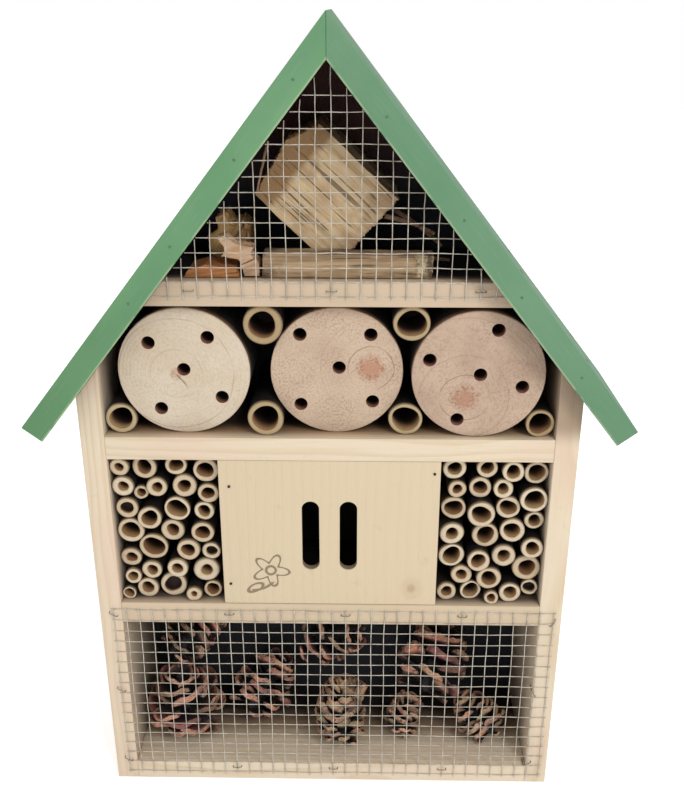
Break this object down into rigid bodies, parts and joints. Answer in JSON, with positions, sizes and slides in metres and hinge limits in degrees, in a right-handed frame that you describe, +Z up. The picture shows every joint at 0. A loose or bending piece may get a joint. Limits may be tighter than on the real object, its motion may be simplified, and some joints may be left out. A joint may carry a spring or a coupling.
{
  "type": "insect hotel",
  "caption": "Free-standing wooden insect hotel shaped like a narrow house, with a steep roof, drilled logs, cane bundles, a slotted butterfly panel, and pine cones behind wire mesh.",
  "frame": {"origin": "middle of the footprint on the ground (bottom centre of the box around the whole object)", "axes": "+Z up, the front faces -Y, +X is to the right when seen from the front"},
  "size_m": [0.36, 0.1, 0.5023],
  "materials": {
    "pine_board": "bare planed pine, pale, matt",
    "plywood": "bare sanded plywood with a burned line drawing",
    "green_stain": "green wood stain, thin and slightly worn",
    "dark_panel": "thin board with a dark stain",
    "log_wood": "sawn end grain, bark removed",
    "cane": "natural dry cane with sawn ends",
    "pine_cone": "natural dry cone scales",
    "split_wood": "rough split softwood",
    "sawn_slab": "rough sawn, greyed",
    "wood_chip": "fresh split chips",
    "bark": "rough bark",
    "wire": "zinc-coated wire",
    "steel": "zinc-coated steel"
  },
  "bodies": {
    "root": {"left_side_board": "pine_board", "right_side_board": "pine_board", "base_board": "pine_board", "lower_shelf": "pine_board", "middle_shelf": "pine_board", "attic_shelf": "pine_board", "back_panel": "dark_panel", "left_divider": "pine_board", "right_divider": "pine_board", "butterfly_panel": "plywood", "left_roof_board": "green_stain", "right_roof_board": "green_stain", "left_log": "log_wood", "middle_log": "log_wood", "right_log": "log_wood", "top_left_large_cane": "cane", "top_right_large_cane": "cane", "bottom_left_large_cane": "cane", "bottom_inner_left_large_cane": "cane", "bottom_inner_right_large_cane": "cane", "bottom_right_large_cane": "cane", "left_canes_row_1": "cane", "left_canes_row_2": "cane", "left_canes_row_3": "cane", "left_canes_row_4": "cane", "left_canes_row_5": "cane", "left_canes_row_6": "cane", "right_canes_row_1": "cane", "right_canes_row_2": "cane", "right_canes_row_3": "cane", "right_canes_row_4": "cane", "right_canes_row_5": "cane", "right_canes_row_6": "cane", "front_left_pine_cone": "pine_cone", "upper_left_pine_cone": "pine_cone", "left_middle_pine_cone": "pine_cone", "front_middle_pine_cone": "pine_cone", "small_pine_cone": "pine_cone", "large_right_pine_cone": "pine_cone", "front_right_pine_cone": "pine_cone", "back_middle_pine_cone": "pine_cone", "split_wood_block": "split_wood", "flat_wood_slab": "sawn_slab", "orange_wood_chip": "wood_chip", "split_wood_chip": "wood_chip", "bark_piece": "bark", "thin_sticks": "wood_chip", "lower_wire_mesh": "wire", "attic_wire_mesh": "wire", "lower_mesh_staples": "wire", "attic_mesh_staples": "wire", "panel_pins": "steel", "roof_brads": "steel", "roof_nails": "steel", "frame_nails": "steel", "back_panel_nails": "steel", "hanger_plate": "steel", "hanger_screws": "steel"}
  },
  "joints": []
}
